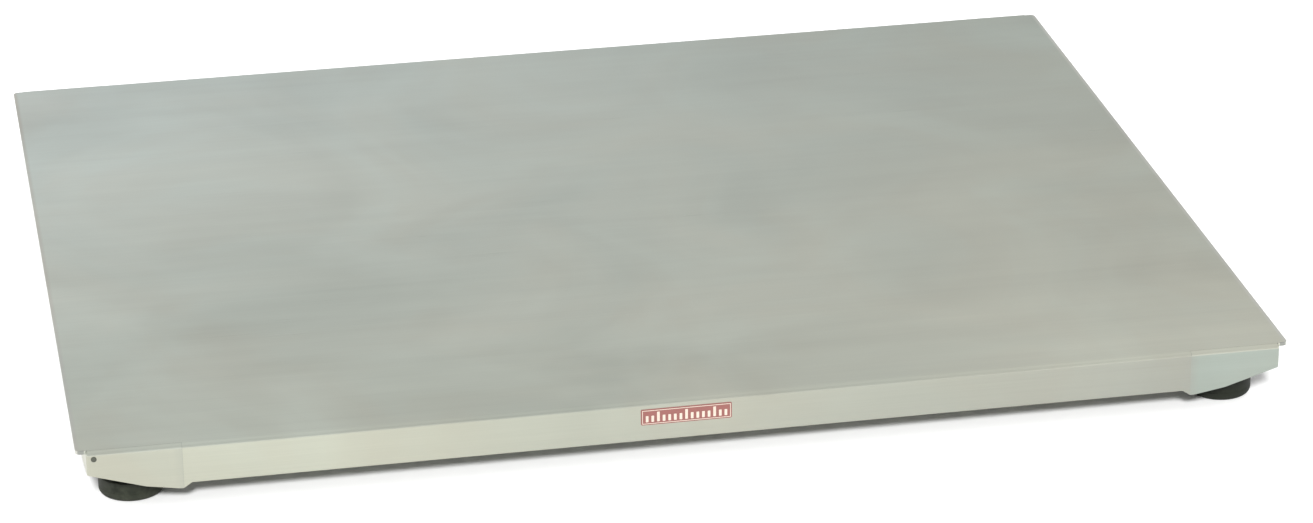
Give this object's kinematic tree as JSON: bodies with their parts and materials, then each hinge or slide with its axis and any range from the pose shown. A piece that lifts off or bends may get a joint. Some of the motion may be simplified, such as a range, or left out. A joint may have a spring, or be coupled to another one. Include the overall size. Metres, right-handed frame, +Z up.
{
  "type": "animal weighing platform",
  "caption": "Low rectangular stainless weighing platform with folded skirts, tapered corner shoes, load cells underneath and round adjustable ball-jointed rubber feet.",
  "frame": {"origin": "on the floor under the middle of the platform", "axes": "+X along the long side to the right, +Y from the front skirt to the rear one, +Z up"},
  "size_m": [1, 0.8006, 0.056],
  "materials": {
    "plate_steel": "satin brushed",
    "shoe_steel": "satin brushed",
    "channel_steel": "mill finish",
    "rib_steel": "mill finish",
    "block_steel": "machined",
    "cell_alloy": "machined",
    "cap_alloy": "satin",
    "bolt_steel": "zinc plated",
    "nut_steel": "zinc plated",
    "stem_steel": "zinc plated",
    "seat_plastic": "natural acetal",
    "ring_plastic": "moulded",
    "cup_plastic": "fine texture",
    "sole_rubber": "matt",
    "lead_jacket": "smooth",
    "clip_plastic": "moulded",
    "box_plastic": "moulded",
    "board_green": "solder mask",
    "gland_plastic": "moulded",
    "grommet_rubber": "matt",
    "badge_red": "gloss",
    "plug_black": "moulded"
  },
  "bodies": {
    "platform": {"top_plate": "plate_steel", "side_channel_left": "channel_steel", "side_channel_right": "channel_steel", "badge": "badge_red", "corner_plug": "plug_black", "cell_caps": "cap_alloy", "cell_bolts": "bolt_steel", "cell_washers": "bolt_steel", "cable_clips": "clip_plastic", "junction_box": "box_plastic", "junction_lid": "box_plastic", "junction_board": "board_green", "junction_screws": "bolt_steel", "junction_glands": "gland_plastic", "outlet_grommet": "grommet_rubber", "outlet_clamp": "clip_plastic", "stiffener_1": "rib_steel", "stiffener_2": "rib_steel", "stiffener_3": "rib_steel", "stiffener_4": "rib_steel", "corner_shoe_fl": "shoe_steel", "mount_block_fl": "block_steel", "load_cell_fl": "cell_alloy", "cell_cable_fl": "lead_jacket", "corner_shoe_fr": "shoe_steel", "mount_block_fr": "block_steel", "load_cell_fr": "cell_alloy", "cell_cable_fr": "lead_jacket", "corner_shoe_rl": "shoe_steel", "mount_block_rl": "block_steel", "load_cell_rl": "cell_alloy", "cell_cable_rl": "lead_jacket", "corner_shoe_rr": "shoe_steel", "mount_block_rr": "block_steel", "load_cell_rr": "cell_alloy", "cell_cable_rr": "lead_jacket"},
    "seat_fl": {"ball_seat_fl": "seat_plastic"},
    "stem_fl": {"foot_stem_fl": "stem_steel"},
    "ring_fl": {"retaining_ring_fl": "ring_plastic"},
    "foot_fl": {"foot_cup_fl": "cup_plastic", "foot_sole_fl": "sole_rubber"},
    "nut_fl": {"lock_nut_fl": "nut_steel"},
    "seat_fr": {"ball_seat_fr": "seat_plastic"},
    "stem_fr": {"foot_stem_fr": "stem_steel"},
    "ring_fr": {"retaining_ring_fr": "ring_plastic"},
    "foot_fr": {"foot_cup_fr": "cup_plastic", "foot_sole_fr": "sole_rubber"},
    "nut_fr": {"lock_nut_fr": "nut_steel"},
    "seat_rl": {"ball_seat_rl": "seat_plastic"},
    "stem_rl": {"foot_stem_rl": "stem_steel"},
    "ring_rl": {"retaining_ring_rl": "ring_plastic"},
    "foot_rl": {"foot_cup_rl": "cup_plastic", "foot_sole_rl": "sole_rubber"},
    "nut_rl": {"lock_nut_rl": "nut_steel"},
    "seat_rr": {"ball_seat_rr": "seat_plastic"},
    "stem_rr": {"foot_stem_rr": "stem_steel"},
    "ring_rr": {"retaining_ring_rr": "ring_plastic"},
    "foot_rr": {"foot_cup_rr": "cup_plastic", "foot_sole_rr": "sole_rubber"},
    "nut_rr": {"lock_nut_rr": "nut_steel"}
  },
  "joints": [
    {"name": "height_fl", "type": "slide", "parent": "platform", "child": "seat_fl", "axis": [0, 0, -1], "range_m": [-0.001, 0.008]},
    {"name": "stem_turn_fl", "type": "hinge", "parent": "seat_fl", "child": "stem_fl", "pos_m": [-0.455, -0.356, 0.0125], "axis": [0, 0, 1], "range_deg": [-1925, 245]},
    {"name": "tilt_x_fl", "type": "hinge", "parent": "seat_fl", "child": "ring_fl", "pos_m": [-0.455, -0.356, 0.0125], "axis": [1, 0, 0], "range_deg": [-5, 5]},
    {"name": "tilt_y_fl", "type": "hinge", "parent": "ring_fl", "child": "foot_fl", "pos_m": [-0.455, -0.356, 0.0125], "axis": [0, 1, 0], "range_deg": [-5, 5]},
    {"name": "lock_nut_turn_fl", "type": "hinge", "parent": "platform", "child": "nut_fl", "pos_m": [-0.455, -0.356, 0.0212], "axis": [0, 0, -1], "range_deg": [0, 120]},
    {"name": "height_fr", "type": "slide", "parent": "platform", "child": "seat_fr", "axis": [0, 0, -1], "range_m": [-0.001, 0.008]},
    {"name": "stem_turn_fr", "type": "hinge", "parent": "seat_fr", "child": "stem_fr", "pos_m": [0.455, -0.356, 0.0125], "axis": [0, 0, 1], "range_deg": [-1925, 245]},
    {"name": "tilt_x_fr", "type": "hinge", "parent": "seat_fr", "child": "ring_fr", "pos_m": [0.455, -0.356, 0.0125], "axis": [1, 0, 0], "range_deg": [-5, 5]},
    {"name": "tilt_y_fr", "type": "hinge", "parent": "ring_fr", "child": "foot_fr", "pos_m": [0.455, -0.356, 0.0125], "axis": [0, 1, 0], "range_deg": [-5, 5]},
    {"name": "lock_nut_turn_fr", "type": "hinge", "parent": "platform", "child": "nut_fr", "pos_m": [0.455, -0.356, 0.0212], "axis": [0, 0, -1], "range_deg": [0, 120]},
    {"name": "height_rl", "type": "slide", "parent": "platform", "child": "seat_rl", "axis": [0, 0, -1], "range_m": [-0.001, 0.008]},
    {"name": "stem_turn_rl", "type": "hinge", "parent": "seat_rl", "child": "stem_rl", "pos_m": [-0.455, 0.356, 0.0125], "axis": [0, 0, 1], "range_deg": [-1925, 245]},
    {"name": "tilt_x_rl", "type": "hinge", "parent": "seat_rl", "child": "ring_rl", "pos_m": [-0.455, 0.356, 0.0125], "axis": [1, 0, 0], "range_deg": [-5, 5]},
    {"name": "tilt_y_rl", "type": "hinge", "parent": "ring_rl", "child": "foot_rl", "pos_m": [-0.455, 0.356, 0.0125], "axis": [0, 1, 0], "range_deg": [-5, 5]},
    {"name": "lock_nut_turn_rl", "type": "hinge", "parent": "platform", "child": "nut_rl", "pos_m": [-0.455, 0.356, 0.0212], "axis": [0, 0, -1], "range_deg": [0, 120]},
    {"name": "height_rr", "type": "slide", "parent": "platform", "child": "seat_rr", "axis": [0, 0, -1], "range_m": [-0.001, 0.008]},
    {"name": "stem_turn_rr", "type": "hinge", "parent": "seat_rr", "child": "stem_rr", "pos_m": [0.455, 0.356, 0.0125], "axis": [0, 0, 1], "range_deg": [-1925, 245]},
    {"name": "tilt_x_rr", "type": "hinge", "parent": "seat_rr", "child": "ring_rr", "pos_m": [0.455, 0.356, 0.0125], "axis": [1, 0, 0], "range_deg": [-5, 5]},
    {"name": "tilt_y_rr", "type": "hinge", "parent": "ring_rr", "child": "foot_rr", "pos_m": [0.455, 0.356, 0.0125], "axis": [0, 1, 0], "range_deg": [-5, 5]},
    {"name": "lock_nut_turn_rr", "type": "hinge", "parent": "platform", "child": "nut_rr", "pos_m": [0.455, 0.356, 0.0212], "axis": [0, 0, -1], "range_deg": [0, 120]}
  ],
  "couplings": [
    {"joint": "stem_turn_fl", "follows": "height_fl", "rad_per_m": -4188.8},
    {"joint": "stem_turn_fr", "follows": "height_fr", "rad_per_m": -4188.8},
    {"joint": "stem_turn_rl", "follows": "height_rl", "rad_per_m": -4188.8},
    {"joint": "stem_turn_rr", "follows": "height_rr", "rad_per_m": -4188.8}
  ]
}
